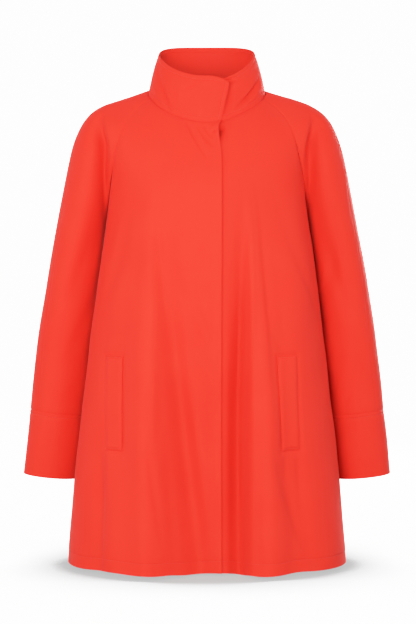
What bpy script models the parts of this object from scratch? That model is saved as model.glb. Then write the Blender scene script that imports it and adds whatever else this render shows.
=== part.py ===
"""A-line swing coat with raglan sleeves, filled out as if worn, with nobody in it.

Metres, +Z up, the front towards -Y and +X on the wearer's left. The origin is the middle of the neck
opening, at the height of the points where the collar meets the shoulders. Every piece of cloth is a wall
between one shared surface and the same surface moved inwards. Neighbouring walls stop just short of a seam.
"""

from collections import namedtuple

import bmesh
import bpy
import numpy as np

# Cloth thicknesses and clearances
CLOTH = 0.0016
COLLAR_CLOTH = 0.0024
CUFF_CLOTH = 0.0020
WELT_CLOTH = 0.0020
SEAM_GAP = 0.0003
OVERLAP_STEP = 0.0022
COLLAR_STEP = 0.0031

# Heights of the main lines
ARMPIT_Z = -0.205
HEM_Z = -0.813

# Front overlap: the wearer's right front closes over the left one
FRONT_EDGE_X = 0.025
OVERLAP_RAMP = 0.022

# Roundness of the sections: 2 is an ellipse, more is boxier
YOKE_ROUNDNESS = 2.2
SLEEVE_ROUNDNESS = 2.0

# Rings that the collar stands on and ends in
Ring = namedtuple("Ring", "half_width middle_y half_depth front_z side_z back_z")
NECK_RING = Ring(0.101, -0.012, 0.074, -0.062, -0.004, 0.006)
COLLAR_TOP_RING = Ring(0.083, -0.011, 0.069, 0.014, 0.062, 0.0855)
COLLAR_BULGE = 0.0015
COLLAR_UNDER_END = np.radians(-12.0)
COLLAR_OVER_END_BASE = np.radians(14.5)
COLLAR_OVER_END_TOP = np.radians(30.0)
COLLAR_RECESS_START = np.radians(34.0)
COLLAR_RECESS_RUN = np.radians(30.0)
COLLAR_UNDER_DROOP_END = np.radians(12.0)
COLLAR_UNDER_DROOP_RUN = np.radians(22.0)
COLLAR_DROOP = 0.23

# Body sections under the arms
BodySection = namedtuple("BodySection", "z half_width front_depth back_depth front_roundness back_roundness")
BODY_SECTIONS = (
    BodySection(ARMPIT_Z, 0.172, 0.132, 0.108, 2.00, 2.00),
    BodySection(-0.364, 0.193, 0.140, 0.118, 2.15, 2.00),
    BodySection(-0.520, 0.212, 0.148, 0.129, 2.30, 2.05),
    BodySection(-0.668, 0.229, 0.157, 0.139, 2.45, 2.10),
    BodySection(HEM_Z, 0.2405, 0.167, 0.148, 2.60, 2.15),
)

# Sleeve sections, level at the armpit and square to the arm at the cuff
SleeveSection = namedtuple("SleeveSection", "z inner_x outer_x inner_y outer_y half_depth tilt")
SLEEVE_SECTIONS = (
    SleeveSection(ARMPIT_Z, 0.1728, 0.2565, 0.000, 0.018, 0.065, 0.00),
    SleeveSection(-0.240, 0.1778, 0.2643, 0.022, 0.020, 0.065, 0.03),
    SleeveSection(-0.300, 0.1846, 0.2748, 0.030, 0.022, 0.063, 0.06),
    SleeveSection(-0.430, 0.1998, 0.2955, 0.035, 0.026, 0.058, 0.11),
    SleeveSection(-0.560, 0.2145, 0.3100, 0.038, 0.028, 0.053, 0.12),
    SleeveSection(-0.672, 0.2266, 0.3225, 0.040, 0.030, 0.050, 0.11),
)
CUFF_SEAM_Z = -0.560

# Yoke: how the cloth leaves the neck seam and arrives at armpit height, at the middle and at the side
Leave = namedtuple("Leave", "x y z")
FRONT_LEAVE, FRONT_ARRIVE = Leave(0.0, -0.018, -0.040), Leave(0.0, 0.002, 0.055)
BACK_LEAVE, BACK_ARRIVE = Leave(0.0, 0.028, -0.030), Leave(0.0, -0.006, 0.100)
SIDE_LEAVE, SIDE_ARRIVE = Leave(0.104, 0.0, -0.031), Leave(-0.030, 0.0, 0.187)
RAGLAN_NECK_FRONT = np.radians(72.0)
RAGLAN_NECK_BACK = np.radians(65.0)
RAGLAN_YOKE_FRONT = np.radians(57.6)
RAGLAN_YOKE_BACK = np.radians(62.0)
ARMPIT_PINCH_START = 0.42
OVERARM_FORWARD = 0.28

# How unevenly the body's columns spread along the neck seam and at armpit height: 1 is even
NECK_SPREAD = 1.2
YOKE_SPREAD = 1.45

# Folds that fall from the bust and the shoulder blades to the hem, placed by x across the panel
Fold = namedtuple("Fold", "head_x head_z foot_x head_width foot_width rise")
FRONT_FOLDS = (
    Fold(-0.100, -0.220, -0.094, 0.030, 0.045, 0.020),
    Fold(-0.084, -0.210, -0.012, 0.014, 0.022, -0.008),
    Fold(-0.084, -0.460, -0.060, 0.012, 0.017, -0.006),
    Fold(-0.176, -0.560, -0.182, 0.012, 0.018, -0.006),
    Fold(0.024, -0.300, 0.026, 0.030, 0.045, -0.014),
    Fold(0.066, -0.210, 0.055, 0.014, 0.018, -0.009),
    Fold(0.092, -0.220, 0.096, 0.022, 0.040, 0.021),
    Fold(0.098, -0.210, 0.150, 0.014, 0.025, -0.007),
)
BACK_FOLDS = (
    Fold(-0.072, -0.240, -0.078, 0.030, 0.046, 0.018),
    Fold(-0.135, -0.330, -0.160, 0.018, 0.028, -0.008),
    Fold(0.004, -0.270, 0.012, 0.020, 0.028, -0.011),
    Fold(0.082, -0.280, 0.096, 0.028, 0.044, 0.017),
    Fold(0.140, -0.400, 0.168, 0.016, 0.026, -0.007),
)
FOLD_GROWTH = 1.6
HEM_DIP = 0.12

# Folds of the sleeves: their line runs from a place on the yoke or arm to another, given as row and column
SleeveFold = namedtuple("SleeveFold", "head_row head_column foot_row foot_column width rise")
SLEEVE_FOLDS = (
    SleeveFold(0.38, 1.50, 0.95, 1.10, 0.10, -0.009),
    SleeveFold(0.42, 2.52, 0.95, 2.88, 0.11, -0.009),
    SleeveFold(1.00, 1.30, 1.42, 1.52, 0.07, -0.004),
    SleeveFold(1.20, 2.75, 1.50, 2.40, 0.08, -0.004),
)

# Pocket welts, by the x of their edges near and far from the front middle, at their top and bottom ends
Welt = namedtuple("Welt", "top_near top_far bottom_near bottom_far")
RIGHT_WELT = Welt(-0.140, -0.169, -0.141, -0.170)
LEFT_WELT = Welt(0.119, 0.150, 0.126, 0.157)
WELT_TOP_Z = -0.458
WELT_BOTTOM_Z = -0.614

# Fineness of the sheets
YOKE_ROWS = 9
YOKE_ROW_CROWDING = 1.25
ROWS_ABOVE_WELT = 6
WELT_ROWS = 4
ROWS_BELOW_WELT = 5
ARM_ROWS = 11
OVERLAP_COLUMNS = 4
FRONT_COLUMNS = 10
WELT_COLUMNS = 3
SIDE_COLUMNS = 7
BACK_COLUMNS = 32
SLEEVE_FRONT_COLUMNS = 8
SLEEVE_BACK_COLUMNS = 12
CUFF_COLUMNS = 20
CUFF_ROWS = 3
COLLAR_COLUMNS = 60
COLLAR_ROWS = 3
SHARP_ANGLE = np.radians(40.0)
NORMAL_STEP = 1e-4
HALVINGS = 40
WELD_DISTANCE = 1e-5

# Colour of the cloth, linear
TOMATO_RED = (0.84, 0.052, 0.036, 1.0)
CLOTH_ROUGHNESS = 0.72


def ease(t):
    """Smooth step from 0 to 1 that starts and ends level."""
    t = np.clip(t, 0.0, 1.0)
    return t * t * (3.0 - 2.0 * t)


def through(sections, column, z):
    """A section table's column at heights z, on a smooth curve through its rows."""
    stations = -np.array([section.z for section in sections])
    values = np.array([getattr(section, column) for section in sections])
    slopes = np.gradient(values, stations)
    at = np.clip(-np.asarray(z, dtype=float), stations[0], stations[-1])
    i = np.clip(np.searchsorted(stations, at) - 1, 0, len(stations) - 2)
    span = stations[i + 1] - stations[i]
    t = (at - stations[i]) / span
    level = values[i] + (values[i + 1] - values[i]) * t * t * (3.0 - 2.0 * t)
    start = slopes[i] * span * t * (1.0 - t) ** 2
    end = slopes[i + 1] * span * t * t * (1.0 - t)
    return level + start - end


def oval(angle, half_x, half_y, roundness):
    """A point of an oval at a true angle from -Y towards +X."""
    reach = (np.abs(np.sin(angle)) / half_x) ** roundness + (np.abs(np.cos(angle)) / half_y) ** roundness
    reach = reach ** (-1.0 / roundness)
    return reach * np.sin(angle), -reach * np.cos(angle)


def ring_point(ring, angle):
    """A point of the neck seam or the collar's top edge, at an angle from the front to the wearer's left."""
    ends = 0.5 * (ring.front_z + ring.back_z)
    level = 0.5 * (ends + ring.side_z)
    tilt = 0.5 * (ring.back_z - ring.front_z)
    saddle = 0.5 * (ends - ring.side_z)
    x = ring.half_width * np.sin(angle)
    y = ring.middle_y - ring.half_depth * np.cos(angle)
    z = level - tilt * np.cos(angle) + saddle * np.cos(2.0 * angle)
    return np.stack([x, y, z], axis=-1)


def body_ring(z, column):
    """The body's section at height z. Column 0 is the front middle, 1 and 3 the side, 4 the back middle."""
    front = column < 2.0
    angle = np.where(front, column, column - 2.0) * np.pi / 2.0
    width, front_depth, back_depth, front_bulge, back_bulge = (
        through(BODY_SECTIONS, column_name, z) for column_name in BodySection._fields[1:]
    )
    depth = np.where(front, front_depth, back_depth)
    x, y = oval(angle, width, depth, np.where(front, front_bulge, back_bulge))
    return np.stack([x, y, z + 0.0 * x], axis=-1)


def sleeve_ring(z, column):
    """The sleeve's section at height z. Columns 1 and 3 are its inner line and 2 is its outer line."""
    angle = (column - 2.0) * np.pi
    inner = through(SLEEVE_SECTIONS, "inner_x", z)
    outer = through(SLEEVE_SECTIONS, "outer_x", z)
    half_x = 0.5 * (outer - inner)
    half_y = through(SLEEVE_SECTIONS, "half_depth", z)
    along, across = oval(angle + np.pi / 2.0, half_x, half_y, SLEEVE_ROUNDNESS)
    x = 0.5 * (inner + outer) + along
    inner_y = through(SLEEVE_SECTIONS, "inner_y", z)
    y = inner_y + (through(SLEEVE_SECTIONS, "outer_y", z) - inner_y) * (x - inner) / (outer - inner) + across
    return np.stack([x, y, z + through(SLEEVE_SECTIONS, "tilt", z) * along], axis=-1)


def yoke(row, column, ring):
    """The shoulders from the neck seam, row 0, to armpit height, row 1, drawn in there to a panel's ring."""
    front = column <= 2.0
    side_column = np.where(front, column, 4.0 - column)
    on_body = side_column <= 1.0
    past = side_column - 1.0
    short = np.clip(1.0 - side_column, 0.0, 1.0)

    seam_at_neck = np.where(front, RAGLAN_NECK_FRONT, RAGLAN_NECK_BACK)
    on_sleeve = seam_at_neck + (np.pi / 2.0 - seam_at_neck) * past
    neck_angle = np.where(on_body, seam_at_neck * (1.0 - short ** NECK_SPREAD), on_sleeve)
    start = ring_point(NECK_RING, np.where(front, neck_angle, np.pi - neck_angle))

    seam_at_yoke = np.where(front, RAGLAN_YOKE_FRONT, RAGLAN_YOKE_BACK)
    on_sleeve = seam_at_yoke + (np.pi / 2.0 - seam_at_yoke) * past
    yoke_angle = np.where(on_body, seam_at_yoke * (1.0 - short ** YOKE_SPREAD), on_sleeve)
    depth = np.where(front, BODY_SECTIONS[0].front_depth, BODY_SECTIONS[0].back_depth)
    x, y = oval(yoke_angle, SLEEVE_SECTIONS[0].outer_x, depth, YOKE_ROUNDNESS)
    end = np.stack([x, np.where(front, y, -y), ARMPIT_Z + 0.0 * x], axis=-1)

    side_share = (np.sin(side_column * np.pi / 4.0) ** 2)[..., None]
    is_front = front[..., None]
    leave = np.where(is_front, FRONT_LEAVE, BACK_LEAVE) * (1.0 - side_share)
    leave = leave + np.array(SIDE_LEAVE) * side_share
    arrive = np.where(is_front, FRONT_ARRIVE, BACK_ARRIVE) * (1.0 - side_share)
    arrive = arrive + np.array(SIDE_ARRIVE) * side_share

    s = row[..., None]
    smooth = start * (1.0 - s) ** 3 + (start + leave) * 3.0 * s * (1.0 - s) ** 2
    smooth = smooth + (end + arrive) * 3.0 * s * s * (1.0 - s) + end * s ** 3

    drawn = ring(np.full_like(column, ARMPIT_Z), column)
    pinch = np.clip((row - ARMPIT_PINCH_START) / (1.0 - ARMPIT_PINCH_START), 0.0, 1.0)[..., None] ** 2
    return smooth + (drawn - end) * pinch


def body_base(row, column):
    """The body without folds: yoke rows 0 to 1, then rows 1 to 2 from the armpit to the hem."""
    z = ARMPIT_Z + (HEM_Z - ARMPIT_Z) * np.clip(row - 1.0, 0.0, 1.0)
    upper = yoke(np.clip(row, 0.0, 1.0), column, body_ring)
    return np.where((row < 1.0)[..., None], upper, body_ring(z, column))


def sleeve_base(row, column):
    """The sleeve without folds: yoke rows 0 to 1, then rows 1 to 2 from the armpit to the cuff's end."""
    last_z = SLEEVE_SECTIONS[-1].z
    z = ARMPIT_Z + (last_z - ARMPIT_Z) * np.clip(row - 1.0, 0.0, 1.0)
    upper = yoke(np.clip(row, 0.0, 1.0), column, sleeve_ring)
    return np.where((row < 1.0)[..., None], upper, sleeve_ring(z, column))


def normals(surface, row, column):
    """Outward unit normals of a surface whose columns run from the front, round the side, to the back."""
    down = surface(row + NORMAL_STEP, column) - surface(row - NORMAL_STEP, column)
    along = surface(row, column + NORMAL_STEP) - surface(row, column - NORMAL_STEP)
    across = np.cross(down, along)
    return across / np.linalg.norm(across, axis=-1, keepdims=True)


def fold_height(folds, x, z):
    """How far the folds of a table stand out at x across the panel and height z."""
    height = np.zeros_like(x)
    for fold in folds:
        t = np.clip((fold.head_z - z) / (fold.head_z - HEM_Z), 0.0, 1.0)
        middle = fold.head_x + (fold.foot_x - fold.head_x) * t
        width = fold.head_width + (fold.foot_width - fold.head_width) * t
        height = height + fold.rise * ease(FOLD_GROWTH * t) * np.exp(-(((x - middle) / width) ** 2))
    return height


def body_point(row, column, face, lift, under=False):
    """A body panel's point, lifted off its outer face: column -1 is the wearer's right side, 1 the left."""
    side = np.where(column < 0.0, -1.0, 1.0)
    ring_column = np.abs(column) if face == "front" else 4.0 - np.abs(column)
    mirror = np.stack([side, np.ones_like(side), np.ones_like(side)], axis=-1)
    base = body_base(row, ring_column) * mirror
    out = normals(body_base, row, ring_column) * mirror
    folds = FRONT_FOLDS if face == "front" else BACK_FOLDS
    height = fold_height(folds, base[..., 0], base[..., 2])
    dip = np.zeros_like(base)
    dip[..., 2] = -HEM_DIP * height
    height = height + lift
    if under:
        height = height - OVERLAP_STEP * ease((FRONT_EDGE_X + OVERLAP_RAMP - base[..., 0]) / OVERLAP_RAMP)
    return base + out * height[..., None] + dip


def sleeve_point(row, column, side, lift):
    """A point of the sleeve on the wearer's left (side 1) or right (side -1), lifted off its outer face."""
    base = sleeve_base(row, column)
    height = np.full_like(row, lift)
    for fold in SLEEVE_FOLDS:
        t = (row - fold.head_row) / (fold.foot_row - fold.head_row)
        middle = fold.head_column + (fold.foot_column - fold.head_column) * np.clip(t, 0.0, 1.0)
        strength = np.sin(np.pi * np.clip(t, 0.0, 1.0)) ** 2
        height = height + fold.rise * strength * np.exp(-(((column - middle) / fold.width) ** 2))
    folded = base + normals(sleeve_base, row, column) * height[..., None]
    return folded * np.array([side, 1.0, 1.0])


def column_at(row, x):
    """The front's column whose plain surface lies at x across, found by halving."""
    low = np.zeros_like(row)
    high = np.ones_like(row)
    for _ in range(HALVINGS):
        middle = 0.5 * (low + high)
        short = body_base(row, middle)[..., 0] < np.abs(x)
        low = np.where(short, middle, low)
        high = np.where(short, high, middle)
    return np.sign(x) * 0.5 * (low + high)


def body_row(z):
    """The row of a body panel at height z."""
    return 1.0 + (z - ARMPIT_Z) / (HEM_Z - ARMPIT_Z)


def yoke_rows():
    """Rows from the neck seam to just above the armpit, closer together where the cloth turns most."""
    return np.linspace(0.0, 1.0, YOKE_ROWS + 1)[:-1] ** YOKE_ROW_CROWDING


def body_rows():
    """Rows of a body panel, with one at each end of the pocket welts."""
    above = np.linspace(ARMPIT_Z, WELT_TOP_Z, ROWS_ABOVE_WELT + 1)
    beside = np.linspace(WELT_TOP_Z, WELT_BOTTOM_Z, WELT_ROWS + 1)
    below = np.linspace(WELT_BOTTOM_Z, HEM_Z, ROWS_BELOW_WELT + 1)
    heights = np.concatenate([above, beside[1:], below[1:]])
    return np.concatenate([yoke_rows(), body_row(heights)])


def front_columns(rows, welt):
    """Columns of one front: runs from its edge at the middle to the welt, across it, and on to the side."""
    side = np.sign(welt.top_near)
    first, last = body_row(WELT_TOP_Z), body_row(WELT_BOTTOM_Z)
    welt_row = np.clip(rows, first, last)
    down = (welt_row - first) / (last - first)
    near = column_at(welt_row, welt.top_near + (welt.bottom_near - welt.top_near) * down)
    far = column_at(welt_row, welt.top_far + (welt.bottom_far - welt.top_far) * down)
    edge = side * column_at(rows, np.full_like(rows, FRONT_EDGE_X))
    stops = (-edge, edge, near, far, np.full_like(rows, side))
    counts = (OVERLAP_COLUMNS, FRONT_COLUMNS, WELT_COLUMNS, SIDE_COLUMNS)
    runs = []
    for start, end, count in zip(stops[:-1], stops[1:], counts):
        share = np.linspace(0.0, 1.0, count + 1)[1:]
        runs.append(start[:, None] + (end - start)[:, None] * share)
    columns = np.concatenate([stops[0][:, None]] + runs, axis=1)
    return columns if side > 0 else columns[:, ::-1]


def front_panel(welt, lift):
    """Points of one front, row by row: the right one covers the middle, the left one runs on under it."""
    rows = body_rows()
    columns = front_columns(rows, welt)
    row = np.repeat(rows[:, None], columns.shape[1], axis=1)
    return body_point(row, columns, "front", lift, under=welt.top_near > 0.0)


def welt_patch(welt, lift):
    """Points of a pocket welt: the front panel's own points inside its outline, moved out."""
    points = front_panel(welt, lift)
    first_row = YOKE_ROWS + ROWS_ABOVE_WELT
    covered = OVERLAP_COLUMNS + FRONT_COLUMNS
    first_column = covered if welt.top_near > 0.0 else SIDE_COLUMNS
    return points[first_row:first_row + WELT_ROWS + 1, first_column:first_column + WELT_COLUMNS + 1]


def back_panel(lift):
    """Points of the back, from the wearer's left side to the right as seen from behind."""
    row, column = np.meshgrid(body_rows(), np.linspace(1.0, -1.0, BACK_COLUMNS + 1), indexing="ij")
    return body_point(row, column, "back", lift)


def cuff_seam_row():
    """The sleeve row at which the cuff is sewn on."""
    return 1.0 + (CUFF_SEAM_Z - ARMPIT_Z) / (SLEEVE_SECTIONS[-1].z - ARMPIT_Z)


def sleeve_panel(face, side, lift):
    """Points of the front or back piece of a sleeve, split along the overarm seam."""
    arm = np.linspace(1.0, cuff_seam_row(), ARM_ROWS + 1)
    rows = np.concatenate([yoke_rows(), arm])
    overarm = 2.0 - OVERARM_FORWARD * ease(rows)
    start, end = (np.ones_like(rows), overarm) if face == "front" else (overarm, np.full_like(rows, 3.0))
    count = SLEEVE_FRONT_COLUMNS if face == "front" else SLEEVE_BACK_COLUMNS
    share = np.linspace(0.0, 1.0, count + 1)
    column = start[:, None] + (end - start)[:, None] * share
    row = np.repeat(rows[:, None], count + 1, axis=1)
    points = sleeve_point(row, column, side, lift)
    return points if side > 0 else points[:, ::-1]


def cuff_band(side, lift):
    """Points of a cuff, once round from the inner line back to it."""
    rows = np.linspace(cuff_seam_row(), 2.0, CUFF_ROWS + 1)
    row, column = np.meshgrid(rows, np.linspace(1.0, 3.0, CUFF_COLUMNS + 1), indexing="ij")
    points = sleeve_point(row, column, side, lift)
    return points if side > 0 else points[:, ::-1]


def collar_band(lift):
    """Points of the collar from its covered end, round the left, back and right, to the covering end."""
    heights = np.linspace(1.0, 0.0, COLLAR_ROWS + 1)
    height, share = np.meshgrid(heights, np.linspace(0.0, 1.0, COLLAR_COLUMNS + 1), indexing="ij")
    over_end = 2.0 * np.pi + COLLAR_OVER_END_BASE + (COLLAR_OVER_END_TOP - COLLAR_OVER_END_BASE) * height
    angle = COLLAR_UNDER_END + (over_end - COLLAR_UNDER_END) * share
    covered = 1.0 - ease((angle - COLLAR_RECESS_START) / COLLAR_RECESS_RUN)
    under_droop = 1.0 - ease((angle - COLLAR_UNDER_DROOP_END) / COLLAR_UNDER_DROOP_RUN)
    over_droop = (np.maximum(angle - 2.0 * np.pi, 0.0) / COLLAR_OVER_END_TOP) ** 2
    reach = height * (1.0 - COLLAR_DROOP * np.maximum(under_droop, over_droop))
    base = ring_point(NECK_RING, angle)
    top = ring_point(COLLAR_TOP_RING, angle)
    points = base + (top - base) * reach[..., None]
    outwards = np.stack([np.sin(angle), -np.cos(angle), np.zeros_like(angle)], axis=-1)
    push = COLLAR_BULGE * np.sin(np.pi * reach) - COLLAR_STEP * covered + lift
    return points + outwards * push[..., None]


def trimmed(points, left=True, right=True, top=True, bottom=True):
    """A sheet's points with the chosen borders drawn in by half the seam gap."""
    points = points.copy()
    borders = (
        (left, points[:, 0], points[:, 1]),
        (right, points[:, -1], points[:, -2]),
        (top, points[0], points[1]),
        (bottom, points[-1], points[-2]),
    )
    for chosen, border, inside in borders:
        if chosen:
            towards = inside - border
            border += towards / np.linalg.norm(towards, axis=-1, keepdims=True) * SEAM_GAP / 2.0
    return points


def cloth_material(name):
    """Matte tomato red cotton for one piece."""
    material = bpy.data.materials.new(name + "_cloth")
    material.use_nodes = True
    shader = material.node_tree.nodes["Principled BSDF"]
    shader.inputs["Base Color"].default_value = TOMATO_RED
    shader.inputs["Roughness"].default_value = CLOTH_ROUGHNESS
    shader.inputs["Metallic"].default_value = 0.0
    material.diffuse_color = TOMATO_RED
    return material


def lay_grid(bm, points, facing_out):
    """A grid of faces on the points, top row first, and its vertices in the same order."""
    rows, columns = points.shape[:2]
    made = bmesh.ops.create_grid(bm, x_segments=columns - 1, y_segments=rows - 1, size=1.0)["verts"]
    for vert in made:
        column = round((vert.co.x + 1.0) / 2.0 * (columns - 1))
        row = round((1.0 - vert.co.y) / 2.0 * (rows - 1))
        vert.co = points[row, column]
    if not facing_out:
        faces = {face for vert in made for face in vert.link_faces}
        bmesh.ops.reverse_faces(bm, faces=list(faces))
    return made


def wall(collection, name, outer, inner):
    """One piece of cloth between an outer and an inner sheet of points, closed along its edges."""
    bm = bmesh.new()
    lay_grid(bm, outer, facing_out=True)
    lay_grid(bm, inner, facing_out=False)
    bmesh.ops.bridge_loops(bm, edges=[edge for edge in bm.edges if edge.is_boundary])
    finish_piece(collection, name, bm)


def tube(collection, name, outer, inner):
    """A band of cloth that closes on itself, with its two open ends finished flat."""
    bm = bmesh.new()
    for points, facing_out in ((outer, True), (inner, False)):
        made = lay_grid(bm, points, facing_out)
        bmesh.ops.remove_doubles(bm, verts=made, dist=WELD_DISTANCE)
    middle_z = outer[..., 2].mean()
    border = [edge for edge in bm.edges if edge.is_boundary]
    upper = [edge for edge in border if edge.verts[0].co.z > middle_z]
    lower = [edge for edge in border if edge.verts[0].co.z <= middle_z]
    bmesh.ops.bridge_loops(bm, edges=upper)
    bmesh.ops.bridge_loops(bm, edges=lower)
    finish_piece(collection, name, bm)


def finish_piece(collection, name, bm):
    """Turns a finished wall into a named object with its cloth."""
    mesh = bpy.data.meshes.new(name)
    bm.to_mesh(mesh)
    bm.free()
    mesh.shade_smooth()
    mesh.set_sharp_from_angle(angle=SHARP_ANGLE)
    mesh.materials.append(cloth_material(name))
    collection.objects.link(bpy.data.objects.new(name, mesh))


def build():
    for old in list(bpy.data.objects):
        bpy.data.objects.remove(old, do_unlink=True)
    coat = bpy.data.collections.new("swing_coat")
    bpy.context.scene.collection.children.link(coat)

    for welt in (RIGHT_WELT, LEFT_WELT):
        name = "left" if welt is LEFT_WELT else "right"
        seams = {"left": welt is RIGHT_WELT, "right": welt is LEFT_WELT, "bottom": False}
        outer = trimmed(front_panel(welt, 0.0), **seams)
        inner = trimmed(front_panel(welt, -CLOTH), **seams)
        wall(coat, f"front_{name}", outer, inner)
        welt_top = welt_patch(welt, SEAM_GAP + WELT_CLOTH)
        wall(coat, f"pocket_welt_{name}", welt_top, welt_patch(welt, SEAM_GAP))
    wall(coat, "back", trimmed(back_panel(0.0), bottom=False), trimmed(back_panel(-CLOTH), bottom=False))
    for side, name in ((-1.0, "right"), (1.0, "left")):
        for face in ("front", "back"):
            outer = trimmed(sleeve_panel(face, side, 0.0))
            wall(coat, f"sleeve_{face}_{name}", outer, trimmed(sleeve_panel(face, side, -CLOTH)))
        ends = {"left": False, "right": False, "bottom": False}
        outer = trimmed(cuff_band(side, 0.0), **ends)
        tube(coat, f"cuff_{name}", outer, trimmed(cuff_band(side, -CUFF_CLOTH), **ends))
    ends = {"left": False, "right": False, "top": False}
    wall(coat, "collar", trimmed(collar_band(0.0), **ends), trimmed(collar_band(-COLLAR_CLOTH), **ends))


build()
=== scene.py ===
"""Looks of a red swing coat: fine cloth on the forms of its solids, with creases, sewing and studio light.

Metres, +Z up, the front towards -Y and +X on the wearer's left, as in the frame that is loaded first.
"""

from collections import namedtuple

import bmesh
import bpy
import numpy as np
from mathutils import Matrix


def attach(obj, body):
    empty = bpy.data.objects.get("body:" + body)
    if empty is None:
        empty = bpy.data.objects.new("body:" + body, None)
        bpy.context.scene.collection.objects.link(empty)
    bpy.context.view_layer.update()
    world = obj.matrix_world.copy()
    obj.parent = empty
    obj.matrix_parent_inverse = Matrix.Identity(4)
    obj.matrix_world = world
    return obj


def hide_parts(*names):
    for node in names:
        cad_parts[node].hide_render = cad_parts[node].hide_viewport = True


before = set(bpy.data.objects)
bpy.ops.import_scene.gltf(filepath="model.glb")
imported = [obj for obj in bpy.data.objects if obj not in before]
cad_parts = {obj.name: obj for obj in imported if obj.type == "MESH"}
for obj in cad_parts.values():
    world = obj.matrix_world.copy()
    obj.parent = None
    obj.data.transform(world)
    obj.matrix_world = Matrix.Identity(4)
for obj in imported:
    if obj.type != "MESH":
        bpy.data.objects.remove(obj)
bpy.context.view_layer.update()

# Cloth thicknesses and clearances
CLOTH = 0.0016
COLLAR_CLOTH = 0.0024
CUFF_CLOTH = 0.0020
WELT_CLOTH = 0.0020
SEAM_GAP = 0.0003
OVERLAP_STEP = 0.0022
COLLAR_STEP = 0.0031

# Heights of the main lines
ARMPIT_Z = -0.205
HEM_Z = -0.813

# Front overlap: the wearer's right front closes over the left one
FRONT_EDGE_X = 0.025
OVERLAP_RAMP = 0.022

# Roundness of the sections: 2 is an ellipse, more is boxier
YOKE_ROUNDNESS = 2.2
SLEEVE_ROUNDNESS = 2.0

# Rings that the collar stands on and ends in
Ring = namedtuple("Ring", "half_width middle_y half_depth front_z side_z back_z")
NECK_RING = Ring(0.101, -0.012, 0.074, -0.062, -0.004, 0.006)
COLLAR_TOP_RING = Ring(0.083, -0.011, 0.069, 0.014, 0.062, 0.0855)
COLLAR_BULGE = 0.0015
COLLAR_UNDER_END = np.radians(-12.0)
COLLAR_OVER_END_BASE = np.radians(14.5)
COLLAR_OVER_END_TOP = np.radians(24.0)
COLLAR_RECESS_START = np.radians(34.0)
COLLAR_RECESS_RUN = np.radians(30.0)
COLLAR_UNDER_DROOP_END = np.radians(-8.0)
COLLAR_UNDER_DROOP_RUN = np.radians(100.0)
COLLAR_UNDER_DROOP = 0.12
COLLAR_OVER_DROOP = 0.23

# Body sections under the arms
BodySection = namedtuple("BodySection", "z half_width front_depth back_depth front_roundness back_roundness")
BODY_SECTIONS = (
    BodySection(ARMPIT_Z, 0.172, 0.132, 0.108, 2.00, 2.00),
    BodySection(-0.364, 0.193, 0.140, 0.118, 2.15, 2.00),
    BodySection(-0.520, 0.212, 0.148, 0.129, 2.30, 2.05),
    BodySection(-0.668, 0.229, 0.157, 0.139, 2.45, 2.10),
    BodySection(HEM_Z, 0.2405, 0.167, 0.148, 2.60, 2.15),
)

# Sleeve sections, level at the armpit and square to the arm at the cuff
SleeveSection = namedtuple("SleeveSection", "z inner_x outer_x inner_y outer_y half_depth tilt")
SLEEVE_SECTIONS = (
    SleeveSection(ARMPIT_Z, 0.1728, 0.2565, 0.000, 0.018, 0.065, 0.00),
    SleeveSection(-0.240, 0.1778, 0.2643, 0.022, 0.020, 0.065, 0.03),
    SleeveSection(-0.300, 0.1846, 0.2748, 0.030, 0.022, 0.063, 0.06),
    SleeveSection(-0.430, 0.1998, 0.2955, 0.035, 0.026, 0.058, 0.11),
    SleeveSection(-0.560, 0.2145, 0.3100, 0.038, 0.028, 0.053, 0.12),
    SleeveSection(-0.672, 0.2266, 0.3225, 0.040, 0.030, 0.050, 0.11),
)
CUFF_SEAM_Z = -0.560
CUFF_END_Z = SLEEVE_SECTIONS[-1].z
CUFF_SEAM_ROW = 1.0 + (CUFF_SEAM_Z - ARMPIT_Z) / (CUFF_END_Z - ARMPIT_Z)

# Yoke: how the cloth leaves the neck seam and arrives at armpit height, at the middle and at the side
FRONT_LEAVE, FRONT_ARRIVE = (0.0, -0.018, -0.040), (0.0, 0.002, 0.055)
BACK_LEAVE, BACK_ARRIVE = (0.0, 0.028, -0.030), (0.0, -0.006, 0.100)
SIDE_LEAVE, SIDE_ARRIVE = (0.104, 0.0, -0.031), (-0.030, 0.0, 0.187)
RAGLAN_NECK_FRONT = np.radians(72.0)
RAGLAN_NECK_BACK = np.radians(65.0)
RAGLAN_YOKE_FRONT = np.radians(57.6)
RAGLAN_YOKE_BACK = np.radians(62.0)
ARMPIT_PINCH_START = 0.42
OVERARM_FORWARD = 0.28

# How unevenly the body's columns spread along the neck seam and at armpit height: 1 is even
NECK_SPREAD = 1.2
YOKE_SPREAD = 1.45

# Folds that fall from the bust and the shoulder blades to the hem, placed by x and z, all in millimetres
MM = 0.001
Fold = namedtuple("Fold", "head_x head_z foot_x head_width foot_width rise")
FRONT_FOLDS = (
    (-100, -220, -94, 30, 45, 20),
    (-84, -210, -12, 14, 22, -8),
    (-84, -460, -60, 12, 17, -6),
    (-176, -560, -182, 12, 18, -6),
    (24, -300, 26, 30, 45, -14),
    (66, -210, 55, 14, 18, -9),
    (92, -220, 96, 22, 40, 21),
    (98, -210, 150, 14, 25, -7),
)
BACK_FOLDS = (
    (-72, -240, -78, 30, 46, 18),
    (-135, -330, -160, 18, 28, -8),
    (4, -270, 12, 20, 28, -11),
    (82, -280, 96, 28, 44, 17),
    (140, -400, 168, 16, 26, -7),
)
FOLD_GROWTH = 1.6
HEM_DIP = 0.12

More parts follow.
